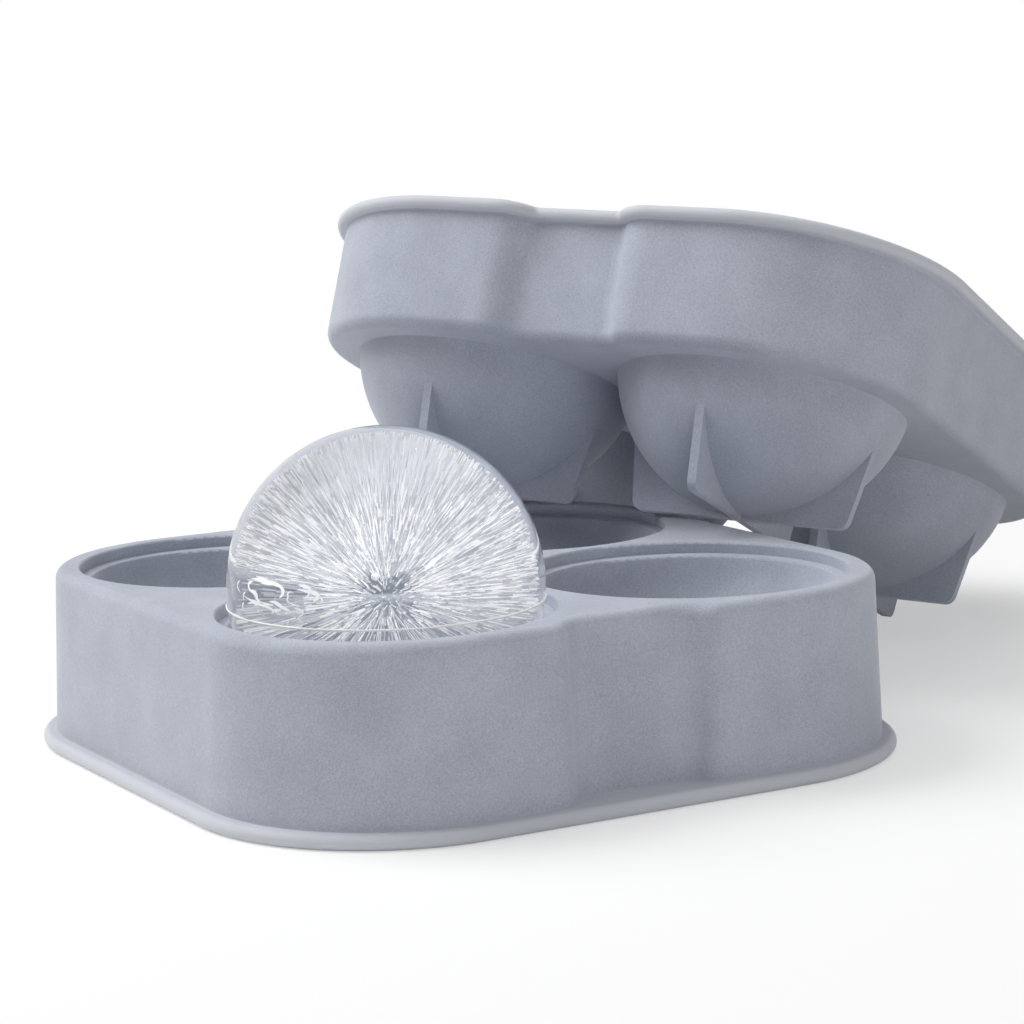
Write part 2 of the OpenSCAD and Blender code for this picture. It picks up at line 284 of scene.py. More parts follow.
@dataclass(frozen=True)
class FrostNeedles:
    """Air drawn out into fine streaks as the water froze towards the middle."""

    name: str = "frost_needles"
    colour: str = "F5F4F3"
    grey: str = "E3E3E3"
    patch_mm: float = 2.2
    through: float = 0.5
    outer: str = "DCDDE1"
    fade_from: float = 10.0 * MM
    fade_to: float = 15.5 * MM
    fade_share: float = 0.8
    grey_at: float = 0.35
    colour_at: float = 0.62
    roughness: float = 0.5

    def build(self, middle: Vector) -> bpy.types.Material:
        """Builds the tone of the streaks.

        Args:
            middle: The middle of the ball.

        Returns:
            A pale matte material with a slow change of tone that turns hazy towards the top.
        """
        material, tree, output = new_material(self.name)
        place = add_node(tree, "ShaderNodeTexCoord").outputs["Object"]
        tone = add_node(tree, "ShaderNodeTexNoise", inputs={
            "Vector": place, "Scale": 1 / (self.patch_mm * MM), "Detail": 1.0})
        ramp = add_node(tree, "ShaderNodeValToRGB", inputs={"Fac": tone.outputs["Fac"]})
        ramp.color_ramp.elements[0].position = self.grey_at
        ramp.color_ramp.elements[0].color = linear(self.grey)
        ramp.color_ramp.elements[1].position = self.colour_at
        ramp.color_ramp.elements[1].color = linear(self.colour)
        spot = add_node(tree, "ShaderNodeSeparateXYZ", inputs={0: place})
        haze = add_node(tree, "ShaderNodeMapRange", {"interpolation_type": "SMOOTHSTEP"}, {
            "Value": spot.outputs["Z"], "From Min": middle.z + self.fade_from,
            "From Max": middle.z + self.fade_to, "To Max": self.fade_share})
        shade = add_node(tree, "ShaderNodeMix", {"data_type": "RGBA"}, {
            "Factor": haze.outputs["Result"], 6: ramp.outputs["Color"], 7: linear(self.outer)})
        shader = add_node(tree, "ShaderNodeBsdfPrincipled", inputs={
            "Base Color": shade.outputs[2], "Roughness": self.roughness, "IOR": ICE_IOR})
        through = add_node(tree, "ShaderNodeBsdfTranslucent", inputs={"Color": shade.outputs[2]})
        mix = add_node(tree, "ShaderNodeMixShader", inputs={
            0: self.through, 1: shader.outputs["BSDF"], 2: through.outputs["BSDF"]})
        tree.links.new(mix.outputs["Shader"], output.inputs["Surface"])
        return material


def dress(node: str, material: bpy.types.Material) -> None:
    """Gives every slot of a CAD node one material.

    Args:
        node: The node's name.
        material: The material for it.
    """
    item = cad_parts[node]
    for place in item.material_slots:
        place.material = material
    if not item.material_slots:
        item.data.materials.append(material)


@dataclass
class Moulding:
    """One silicone half of the mold, shown as its CAD node."""

    node: str
    rim_way: Vector
    rim_t: float
    finish: MouldedSilicone = field(default_factory=MouldedSilicone)

    def dress(self) -> None:
        """Puts the silicone on the node, with its bead where the node ends towards the rim."""
        way = self.rim_way.normalized()
        rim_at = max(vert.co.dot(way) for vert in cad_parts[self.node].data.vertices)
        material = self.finish.build(self.node, way, rim_at, self.rim_t)
        dress(self.node, material)
        LOG.info("%s dressed in %s", self.node, material.name)


@dataclass(frozen=True)
class StreakSizes:
    """Sizes of one kind of streak in the ice.

    Attributes:
        count: Number of streaks on a whole ball, before any is left out.
        reach: Distance of the outermost tips from the ball's middle.
        thickness: Half the width of a usual streak.
        shortest: Half the length of the shortest streak.
        longest: Half the length of the longest streak.
        innermost: Largest random share by which a streak slides in, before crowding.
        low_share: Share of the streaks that is left near the bottom of the ball.
        clearing: Size of the clear vein for this kind, as a share of its full size.
        disc: Largest lean towards the viewer, as a share of the reach. Above 1, all streaks stay.
        low_loss: Share of the streaks that is missing under the seam.
        seed: Seed of the scatter.
    """

    count: int
    reach: float
    thickness: float
    shortest: float
    longest: float
    innermost: float
    low_share: float
    clearing: float
    disc: float
    low_loss: float
    seed: int


@dataclass(frozen=True)
class ClearVein:
    """A vein without streaks that crosses the ball low on one side, edged by white films.

    Turns and rises of the films are in degrees round the ball's middle.
    """

    turn: float = -29.6
    aside: float = -11.6 * MM
    rise: float = -1.2 * MM
    half_width: float = 5.4 * MM
    half_height: float = 2.6 * MM
    wander_mm: float = 3.0
    wander_least: float = 0.5
    films: int = 11
    film_seed: int = 41
    film_steps: int = 72
    film_shake: float = 50.0
    film_growth: tuple[float, float] = (0.4, 1.0)
    film_turn: float = -52.0
    film_turn_spread: tuple[float, float] = (-22.0, 20.0)
    film_half_turn: float = 17.0
    film_rise: float = 0.0
    film_rise_spread: tuple[float, float] = (-7.0, 8.0)
    film_half_rise: float = 6.0
    film_wobble: float = 0.55
    film_wobble_pace: float = 0.9
    film_reach: float = 17.4 * MM
    film_width: float = 0.36 * MM
    film_width_mean: float = 0.25
    film_width_swing: float = 2.2
    film_patch: float = 2.6 * MM
    film_least: float = 0.03 * MM

    def side(self) -> Vector:
        """Returns the level direction across the vein."""
        return Vector((math.cos(math.radians(self.turn)), math.sin(math.radians(self.turn)), 0))

    def along(self) -> Vector:
        """Returns the level direction in which the vein runs, towards the front."""
        return Vector((math.sin(math.radians(self.turn)), -math.cos(math.radians(self.turn)), 0))


@dataclass
class IceBall:
    """The frozen ball: a clear skin with a seam, and streaks of air that run to its middle."""

    radius: float = 22.5 * MM
    wave: float = 0.05 * MM
    wave_length: float = 8.0 * MM
    segments: int = 160
    rings: int = 120
    # the frosted seam
    seam_drop: float = 2.1 * MM
    seam_tube: float = 0.22 * MM
    seam_tube_mean: float = 0.8
    seam_tube_swing: float = 0.4
    seam_tube_pace: float = 6.0
    seam_steps: int = 240
    seam_sides: int = 6
    # the streaks, and how they lean, vary, crowd inwards and thin out low in the ball
    core_drop: float = 1.3 * MM
    white: StreakSizes = StreakSizes(
        count=3600, reach=16.5 * MM, thickness=0.064 * MM, shortest=0.9 * MM, longest=3.8 * MM,
        innermost=0.86, low_share=0.3, clearing=1.0, disc=2.0, low_loss=0.55, seed=7)
    dull: StreakSizes = StreakSizes(
        count=4200, reach=16.2 * MM, thickness=0.085 * MM, shortest=0.9 * MM, longest=3.8 * MM,
        innermost=0.86, low_share=0.7, clearing=0.72, disc=2.0, low_loss=0.85, seed=19)
    burst: StreakSizes = StreakSizes(
        count=1500, reach=9.0 * MM, thickness=0.05 * MM, shortest=1.0 * MM, longest=3.4 * MM,
        innermost=0.5, low_share=0.3, clearing=1.0, disc=0.35, low_loss=0.55, seed=23)
    scatter_cuts: int = 5
    low_from: float = -0.4
    low_to: float = -0.05
    sway: float = 0.04
    thinnest: float = 0.45
    thickest: float = 1.5
    crowding: float = 0.65
    vein: ClearVein = ClearVein()
    # the line of sight: its rise in degrees, and how far it drops for each length into the ball
    sight_rise: float = 8.5
    sight_slope: float = 0.114
    # the bubbles, with the place of the large white one from the ball's middle; that one is a painted
    # highlight
    bubbles: int = 14
    bubble_seed: int = 8
    bubble_cuts: int = 2
    bubble_spread_mm: float = 4.0
    bubble_sizes_mm: tuple[float, float] = (0.10, 0.22)
    bubble_lumps: float = 0.35
    bubble_lump_pace: float = 1.6
    highlight_bubble: float = 0.5 * MM
    highlight_aside: float = -0.7 * MM
    highlight_rise: float = 3.6 * MM
    highlight_ahead: float = 14 * MM

    def centre(self) -> Vector:
        """Returns the middle of the ball's CAD node."""
        low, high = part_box("ice_ball")
        return (Vector(low) + Vector(high)) / 2

    def sight(self) -> Vector:
        """Returns the direction from the ball to the viewer."""
        rise = math.radians(self.sight_rise)
        return self.vein.along() * math.cos(rise) + Vector((0, 0, math.sin(rise)))

    def surface(self, angle: float, turn: float) -> Vector:
        """Works out a point of the skin, which is slightly wavy and never outside the ball.

        Args:
            angle: Height of the point as an angle above the middle.
            turn: Angle of the point round the upright axis.

        Returns:
            The point, from the ball's middle.
        """
        way = Vector((math.cos(angle) * math.cos(turn), math.cos(angle) * math.sin(turn), math.sin(angle)))
        ripple = 0.5 + 0.5 * noise.noise(way * (self.radius / self.wave_length))
        return way * (self.radius - self.wave * ripple)

    def build_skin(self, material: bpy.types.Material) -> bpy.types.Object:
        """Makes the clear skin.

        Args:
            material: The clear ice.

        Returns:
            The skin as a closed smooth mesh in place.
        """
        centre = self.centre()
        form = bmesh.new()
        bottom = form.verts.new(centre + self.surface(-math.pi / 2, 0))
        top = form.verts.new(centre + self.surface(math.pi / 2, 0))
        n = self.segments
        turns = [2 * math.pi * k / n for k in range(n)]
        angles = [math.pi * (i / self.rings - 0.5) for i in range(1, self.rings)]
        rows = [[form.verts.new(centre + self.surface(a, turn)) for turn in turns] for a in angles]
        for k in range(n):
            form.faces.new((bottom, rows[0][(k + 1) % n], rows[0][k]))
            form.faces.new((top, rows[-1][k], rows[-1][(k + 1) % n]))
        for low, high in zip(rows, rows[1:]):
            for k in range(n):
                form.faces.new((low[k], low[(k + 1) % n], high[(k + 1) % n], high[k]))
        return finish_mesh(form, "ice_skin", material)

    def build_seam(self, material: bpy.types.Material) -> bpy.types.Object:
        """Makes the thin frosted line where the two halves of the mold met.

        Args:
            material: The white of the frost.

        Returns:
            The seam as a closed ring in place.
        """
        centre = self.centre()
        angle = math.asin(-self.seam_drop / self.radius)
        form = bmesh.new()
        n, sides = self.seam_steps, self.seam_sides
        rows = []
        for k in range(n):
            turn = 2 * math.pi * k / n
            spot = self.surface(angle, turn)
            out = Vector((math.cos(turn), math.sin(turn), 0))
            ripple = noise.noise(out * self.seam_tube_pace)
            tube = self.seam_tube * (self.seam_tube_mean + self.seam_tube_swing * ripple)
            row = []
            for j in range(sides):
                b = 2 * math.pi * j / sides
                edge = out * (tube * math.cos(b))
                row.append(form.verts.new(centre + spot + edge + Vector((0, 0, tube * math.sin(b)))))
            rows.append(row)
        for k in range(n):
            here, there = rows[k], rows[(k + 1) % n]
            for j in range(sides):
                form.faces.new((here[j], there[j], there[(j + 1) % sides], here[(j + 1) % sides]))
        return finish_mesh(form, "ice_seam", material)

    def scatter_points(self, tree: bpy.types.NodeTree, given: bpy.types.bpy_prop_collection,
                       height: bpy.types.NodeSocket, ahead: bpy.types.NodeSocket) -> bpy.types.NodeSocket:
        """Scatters the points that the streaks hang from over a ball.

        Args:
            tree: The tree that gets the steps.
            given: The tree's inputs by name.
            height: Height of a place above the ball's middle.
            ahead: Distance of a place towards the viewer.

        Returns:
            The socket with the points.
        """
        reach = given["Reach"]
        area = add_node(tree, "ShaderNodeMath", {"operation": "MULTIPLY"}, {0: reach, 1: reach})
        area = add_node(tree, "ShaderNodeMath", {"operation": "MULTIPLY"}, {
            0: area.outputs[0], 1: 4 * math.pi})
        density = add_node(tree, "ShaderNodeMath", {"operation": "DIVIDE"}, {
            0: given["Streaks"], 1: area.outputs[0]})
        ball = add_node(tree, "GeometryNodeMeshIcoSphere", inputs={
            "Radius": reach, "Subdivisions": self.scatter_cuts})
        # the streaks thin out towards the bottom of the ball
        level = add_node(tree, "ShaderNodeMath", {"operation": "DIVIDE"}, {0: height, 1: reach})
        thin = add_node(tree, "ShaderNodeMapRange", inputs={
            "Value": level.outputs[0], "From Min": self.low_from, "From Max": self.low_to,
            "To Min": given["Low Share"], "To Max": 1.0})
        density = add_node(tree, "ShaderNodeMath", {"operation": "MULTIPLY"}, {
            0: density.outputs[0], 1: thin.outputs["Result"]})
        # the burst in the middle keeps only streaks that lie across the line of sight
        lean = add_node(tree, "ShaderNodeMath", {"operation": "ABSOLUTE"}, {0: ahead})
        most = add_node(tree, "ShaderNodeMath", {"operation": "MULTIPLY"}, {0: reach, 1: given["Disc"]})
        kept = add_node(tree, "ShaderNodeMath", {"operation": "LESS_THAN"}, {
            0: lean.outputs[0], 1: most.outputs[0]})
        spread = add_node(tree, "GeometryNodeDistributePointsOnFaces", inputs={
            "Mesh": ball.outputs["Mesh"], "Selection": kept.outputs[0], "Density": density.outputs[0],
            "Seed": given["Seed"]})
        return spread.outputs["Points"]

    def face_outwards(self, tree: bpy.types.NodeTree, given: bpy.types.bpy_prop_collection,
                      spot: bpy.types.NodeSocket) -> bpy.types.NodeSocket:
        """Turns every streak away from where the last water froze, give or take a little.

        Args:
            tree: The tree that gets the steps.
            given: The tree's inputs by name.
            spot: The place of a point.

        Returns:
            The socket with the turn.
        """
        low = add_node(tree, "ShaderNodeCombineXYZ", inputs={"Z": given["Drop"]})
        away = add_node(tree, "ShaderNodeVectorMath", {"operation": "ADD"}, {
            0: spot, 1: low.outputs["Vector"]})
        facing = add_node(tree, "FunctionNodeAlignRotationToVector", {"axis": "Z"}, {
            "Vector": away.outputs["Vector"]})
        sway = add_node(tree, "FunctionNodeRandomValue", {"data_type": "FLOAT_VECTOR"}, {
            0: (-self.sway, -self.sway, 0.0), 1: (self.sway, self.sway, math.pi), "Seed": Draw.SWAY.value})
        tilt = add_node(tree, "FunctionNodeEulerToRotation", inputs={0: sway.outputs[0]})
        facing = add_node(tree, "FunctionNodeRotateRotation", {"rotation_space": "LOCAL"}, {
            "Rotation": facing.outputs["Rotation"], "Rotate By": tilt.outputs["Rotation"]})
        return facing.outputs["Rotation"]

    def hang_streaks(self, tree: bpy.types.NodeTree, given: bpy.types.bpy_prop_collection,
                     points: bpy.types.NodeSocket, facing: bpy.types.NodeSocket) -> bpy.types.NodeSocket:
        """Hangs one streak on every point and slides it in along its own radius.

        Args:
            tree: The tree that gets the steps.
            given: The tree's inputs by name.
            points: The points.
            facing: The turn of each streak.

        Returns:
            The socket with the streaks as a real mesh.
        """
        # a streak is two crossed ribbons whose outer tip is the origin, so none reaches past its point
        ribbon = add_node(tree, "GeometryNodeMeshGrid", inputs={
            "Size X": 2.0, "Size Y": 2.0, "Vertices X": 2, "Vertices Y": 2})
        blades = [add_node(tree, "GeometryNodeTransform", inputs={
            "Geometry": ribbon.outputs["Mesh"], "Translation": (0, 0, -1),
            "Rotation": (math.pi / 2, 0, turn)}) for turn in (0, math.pi / 2)]
        spindle = add_node(tree, "GeometryNodeJoinGeometry")
        for blade in blades:
            tree.links.new(blade.outputs["Geometry"], spindle.inputs["Geometry"])
        length = add_node(tree, "FunctionNodeRandomValue", {"data_type": "FLOAT"}, {
            2: given["Shortest"], 3: given["Longest"], "Seed": Draw.LENGTH.value})
        thick = add_node(tree, "FunctionNodeRandomValue", {"data_type": "FLOAT"}, {
            2: self.thinnest, 3: self.thickest, "Seed": Draw.THICKNESS.value})
        thick = add_node(tree, "ShaderNodeMath", {"operation": "MULTIPLY"}, {
            0: thick.outputs[1], 1: given["Thickness"]})
        size = add_node(tree, "ShaderNodeCombineXYZ", inputs={
            "X": thick.outputs[0], "Y": thick.outputs[0], "Z": length.outputs[1]})
        placed = add_node(tree, "GeometryNodeInstanceOnPoints", inputs={
            "Points": points, "Instance": spindle.outputs["Geometry"], "Rotation": facing,
            "Scale": size.outputs["Vector"]})
        # each streak slides in by a random share of the reach, which crowds them towards the middle
        share = add_node(tree, "FunctionNodeRandomValue", {"data_type": "FLOAT"}, {
            2: 0.0, 3: given["Innermost"], "Seed": Draw.DEPTH.value})
        crowd = add_node(tree, "ShaderNodeMath", {"operation": "POWER"}, {
            0: share.outputs[1], 1: self.crowding})
        inward = add_node(tree, "ShaderNodeMath", {"operation": "MULTIPLY"}, {
            0: crowd.outputs[0], 1: given["Reach"]})
        back = add_node(tree, "ShaderNodeMath", {"operation": "MULTIPLY"}, {0: inward.outputs[0], 1: -1.0})
        step = add_node(tree, "ShaderNodeCombineXYZ", inputs={"Z": back.outputs[0]})
        moved = add_node(tree, "GeometryNodeTranslateInstances", inputs={
            "Instances": placed.outputs["Instances"], "Translation": step.outputs["Vector"],
            "Local Space": True})
        real = add_node(tree, "GeometryNodeRealizeInstances", inputs={
            "Geometry": moved.outputs["Instances"]})
        return real.outputs["Geometry"]

    def in_vein(self, tree: bpy.types.NodeTree, given: bpy.types.bpy_prop_collection,
                spot: bpy.types.NodeSocket) -> bpy.types.NodeSocket:
        """Finds the ribbons that have their middle in the clear vein, whose edge wanders.

        Args:
            tree: The tree that gets the steps.
            given: The tree's inputs by name.
            spot: The middle of a ribbon.

        Returns:
            A socket that is 1 in the vein.
        """
        vein = self.vein
        middle = vein.side() * vein.aside + Vector((0, 0, vein.rise))
        apart = add_node(tree, "ShaderNodeVectorMath", {"operation": "SUBTRACT"}, {0: spot, 1: middle})
        across = add_node(tree, "ShaderNodeVectorMath", {"operation": "DOT_PRODUCT"}, {
            0: apart.outputs["Vector"], 1: vein.side() / vein.half_width})
        upright = add_node(tree, "ShaderNodeVectorMath", {"operation": "DOT_PRODUCT"}, {
            0: apart.outputs["Vector"], 1: Vector((0, 0, 1 / vein.half_height))})
        flat = add_node(tree, "ShaderNodeCombineXYZ", inputs={
            "X": across.outputs["Value"], "Y": upright.outputs["Value"]})
        far = add_node(tree, "ShaderNodeVectorMath", {"operation": "LENGTH"}, {0: flat.outputs["Vector"]})
        wander = add_node(tree, "ShaderNodeTexNoise", inputs={
            "Vector": spot, "Scale": 1 / (vein.wander_mm * MM), "Detail": 1.0})
        edge = add_node(tree, "ShaderNodeMath", {"operation": "ADD"}, {
            0: wander.outputs["Fac"], 1: vein.wander_least})
        edge = add_node(tree, "ShaderNodeMath", {"operation": "MULTIPLY"}, {
            0: edge.outputs[0], 1: given["Clearing"]})
        inside = add_node(tree, "ShaderNodeMath", {"operation": "LESS_THAN"}, {
            0: far.outputs["Value"], 1: edge.outputs[0]})
        return inside.outputs[0]

    def under_seam(self, tree: bpy.types.NodeTree, given: bpy.types.bpy_prop_collection,
                   height: bpy.types.NodeSocket, ahead: bpy.types.NodeSocket) -> bpy.types.NodeSocket:
        """Picks the ribbons that are missing under the line of sight past the seam, where ice is clearer.

        Args:
            tree: The tree that gets the steps.
            given: The tree's inputs by name.
            height: Height of a ribbon above the ball's middle.
            ahead: Distance of a ribbon towards the viewer.

        Returns:
            A socket that is 1 for ribbons that are missing.
        """
        depth = add_node(tree, "ShaderNodeMath", {"operation": "SUBTRACT"}, {0: self.radius, 1: ahead})
        depth = add_node(tree, "ShaderNodeMath", {"operation": "MULTIPLY_ADD"}, {
            0: depth.outputs[0], 1: self.sight_slope, 2: height})
        under = add_node(tree, "ShaderNodeMath", {"operation": "LESS_THAN"}, {
            0: depth.outputs[0], 1: -self.seam_drop})
        luck = add_node(tree, "FunctionNodeRandomValue", {"data_type": "FLOAT"}, {
            2: 0.0, 3: 1.0, "Seed": Draw.LOSS.value})
        lost = add_node(tree, "ShaderNodeMath", {"operation": "LESS_THAN"}, {
            0: luck.outputs[1], 1: given["Low Loss"]})
        missing = add_node(tree, "ShaderNodeMath", {"operation": "MULTIPLY"}, {
            0: under.outputs[0], 1: lost.outputs[0]})
        return missing.outputs[0]

    def streak_tree(self, name: str) -> bpy.types.NodeTree:
        """Builds the tree that grows streaks along the radii of a ball.

        Args:
            name: Name of the tree.

        Returns:
            A geometry tree with inputs for the sizes, the seed and the material.
        """
        tree = bpy.data.node_groups.new(name, "GeometryNodeTree")
        for label, kind in STREAK_INPUTS.items():
            tree.interface.new_socket(label, in_out="INPUT", socket_type=kind)
        tree.interface.new_socket("Geometry", in_out="OUTPUT", socket_type="NodeSocketGeometry")
        given = add_node(tree, "NodeGroupInput").outputs
        spot = add_node(tree, "GeometryNodeInputPosition").outputs["Position"]
        height = add_node(tree, "ShaderNodeSeparateXYZ", inputs={0: spot}).outputs["Z"]
        ahead = add_node(tree, "ShaderNodeVectorMath", {"operation": "DOT_PRODUCT"}, {
            0: spot, 1: self.sight()}).outputs["Value"]
        points = self.scatter_points(tree, given, height, ahead)
        streaks = self.hang_streaks(tree, given, points, self.face_outwards(tree, given, spot))
        gone = add_node(tree, "ShaderNodeMath", {"operation": "MAXIMUM"}, {
            0: self.in_vein(tree, given, spot), 1: self.under_seam(tree, given, height, ahead)})
        cleared = add_node(tree, "GeometryNodeDeleteGeometry", {"domain": "FACE"}, {
            "Geometry": streaks, "Selection": gone.outputs[0]})
        dressed = add_node(tree, "GeometryNodeSetMaterial", inputs={
            "Geometry": cleared.outputs["Geometry"], "Material": given["Material"]})
        add_node(tree, "NodeGroupOutput", inputs={"Geometry": dressed.outputs["Geometry"]})
        return tree

    def build_streaks(self, name: str, sizes: StreakSizes, material: bpy.types.Material) -> bpy.types.Object:
        """Grows one kind of streak and keeps it as a plain mesh.

        Args:
            name: Name of the piece.
            sizes: Number and sizes of the streaks.
            material: Their tone.

        Returns:
            The streaks as one object in place.
        """
        tree = self.streak_tree(name)
        holder = bpy.data.objects.new("streak_holder", bpy.data.meshes.new("streak_holder"))
        bpy.context.scene.collection.objects.link(holder)
        grower = holder.modifiers.new("streaks", "NODES")
        grower.node_group = tree
        given = {
            "Reach": sizes.reach, "Drop": self.core_drop, "Streaks": float(sizes.count),
            "Thickness": sizes.thickness, "Shortest": sizes.shortest, "Longest": sizes.longest,
            "Innermost": sizes.innermost, "Low Share": sizes.low_share, "Clearing": sizes.clearing,
            "Disc": sizes.disc, "Low Loss": sizes.low_loss, "Seed": sizes.seed, "Material": material}
        for item in tree.interface.items_tree:
            if item.in_out == "INPUT":
                grower[item.identifier] = given[item.name]
        view = bpy.context.evaluated_depsgraph_get()
        mesh = bpy.data.meshes.new_from_object(holder.evaluated_get(view))
        holder.modifiers.remove(grower)
        bpy.data.objects.remove(holder)
        mesh.transform(Matrix.Translation(self.centre()))
        mesh.name = name
        piece = bpy.data.objects.new(name, mesh)
        # the streaks only scatter light, so they cast no shadow into the ball
        piece.visible_shadow = False
        bpy.context.scene.collection.objects.link(piece)
        return piece

    def film_outline(self, grow: float, turn: float, rise: float, shake: Vector) -> list[Vector]:
        """Works out the wobbly outline of one film.

        Args:
            grow: Size of the film as a share of the largest.
            turn: Turn of the film's middle in degrees.
            rise: Rise of the film's middle in degrees.
            shake: Place in the noise that shapes it.

        Returns:
            The outline's points, from the ball's middle.
        """
        vein = self.vein
        spots = []
        for k in range(vein.film_steps):
            way = 2 * math.pi * k / vein.film_steps
            ring = Vector((math.cos(way), math.sin(way), 0))
            size = grow * (1 + vein.film_wobble * noise.noise(ring * vein.film_wobble_pace + shake))
            east = math.radians(turn + vein.film_half_turn * size * ring.x)
            north = math.radians(rise + vein.film_half_rise * size * ring.y)
            level = vein.along() * math.cos(east) + vein.side() * math.sin(east)
            spots.append((level * math.cos(north) + Vector((0, 0, math.sin(north)))) * vein.film_reach)
        return spots

    def build_films(self, material: bpy.types.Material) -> bpy.types.Object:
        """Makes the thin white films that wander round the clear vein.

        Args:
            material: The white of the frost.

        Returns:
            The films as ribbons in place, wide in some places and fine in others.
        """
        vein, centre = self.vein, self.centre()
        chance = random.Random(vein.film_seed)
        form = bmesh.new()
        n = vein.film_steps
        for _ in range(vein.films):
            grow = chance.uniform(*vein.film_growth)
            turn = vein.film_turn + chance.uniform(*vein.film_turn_spread)
            rise = vein.film_rise + chance.uniform(*vein.film_rise_spread)
            shake = Vector([chance.uniform(0, vein.film_shake) for _ in range(3)])
            spots = self.film_outline(grow, turn, rise, shake)
            # a film narrows to nothing in places, so its outline breaks into arcs
            rows: list[list[bmesh.types.BMVert] | None] = []
            for k, spot in enumerate(spots):
                across = (spots[(k + 1) % n] - spots[k - 1]).cross(spot).normalized()
                ripple = noise.noise(spot / vein.film_patch + shake)
                width = vein.film_width * (vein.film_width_mean + vein.film_width_swing * ripple)
                rows.append([form.verts.new(centre + spot + across * (width * edge)) for edge in (-0.5, 0.5)]
                            if width > vein.film_least else None)
            for here, there in zip(rows, rows[1:] + rows[:1]):
                if here and there:
                    form.faces.new((here[0], there[0], there[1], here[1]))
        bmesh.ops.delete(form, geom=[vert for vert in form.verts if not vert.link_faces], context="VERTS")
        return finish_mesh(form, "ice_vein_films", material)

    def build_bubbles(self, material: bpy.types.Material) -> bpy.types.Object:
        """Makes a few lumpy air bubbles near the middle, and one larger white one in front of it as a
        painted highlight.

        Args:
            material: The white of the frost.

        Returns:
            The bubbles as one object in place.
        """
        chance = random.Random(self.bubble_seed)
        centre, vein = self.centre(), self.vein
        form = bmesh.new()
        for k in range(self.bubbles):
            place = Vector([chance.gauss(0, self.bubble_spread_mm) * MM for _ in range(3)])
            size = chance.uniform(*self.bubble_sizes_mm) * MM
            # the first bubble is a larger white speck in front: a painted highlight where a glint of light
            # shows
            if k == 0:
                place = (vein.side() * self.highlight_aside + Vector((0, 0, self.highlight_rise))
                         + vein.along() * self.highlight_ahead)
                size = self.highlight_bubble
            made = bmesh.ops.create_icosphere(form, subdivisions=self.bubble_cuts, radius=size)
            for vert in made["verts"]:
                lump = noise.noise(vert.co.normalized() * self.bubble_lump_pace + Vector((k, 0, 0)))
                vert.co *= 1 + self.bubble_lumps * lump
                vert.co += centre + place
        return finish_mesh(form, "ice_bubbles", material)

    def build(self) -> None:
        """Makes the ball's pieces and puts them on its body."""
        middle = self.centre()
        frost = FrostNeedles().build(middle)
        dull = FrostNeedles(name="dull_needles", colour="CFD0D4", grey="B6B8BE").build(middle)
        rime = FrostNeedles(name="seam_rime", colour="FBFBFA", grey="F3F3F2", patch_mm=3.0, through=0.1,
                            outer="FBFBFA").build(middle)
        skin = self.build_skin(ClearIce().build())
        streaks = self.build_streaks("ice_streaks", self.white, frost)
        fill = self.build_streaks("ice_dull_streaks", self.dull, dull)
        burst = self.build_streaks("ice_burst", self.burst, frost)
        for piece in (skin, self.build_seam(rime), streaks, fill, burst, self.build_films(rime),
                      self.build_bubbles(rime)):
            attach(piece, Body.BALL.value)
            LOG.info("%s: %d faces", piece.name, len(piece.data.polygons))
        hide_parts("ice_ball")
        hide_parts("ice_cloud")


def finish_mesh(form: bmesh.types.BMesh, name: str, material: bpy.types.Material) -> bpy.types.Object:
    """Turns a working mesh into a smooth object at the origin.

    Args:
        form: The working mesh, freed here.
        name: Name of the object.
        material: Its material.

    Returns:
        The new object.
    """
    bmesh.ops.recalc_face_normals(form, faces=form.faces)
    mesh = bpy.data.meshes.new(name)
    form.to_mesh(mesh)
    form.free()
    mesh.shade_smooth()
    mesh.materials.append(material)
    piece = bpy.data.objects.new(name, mesh)
    bpy.context.scene.collection.objects.link(piece)
    return piece


@dataclass(frozen=True)
class Lamp:
    """A soft lamp: its name, its place and size in metres, and its power in watts."""

    name: str
    place: tuple[float, float, float]
    width: float
    height: float
    power: float


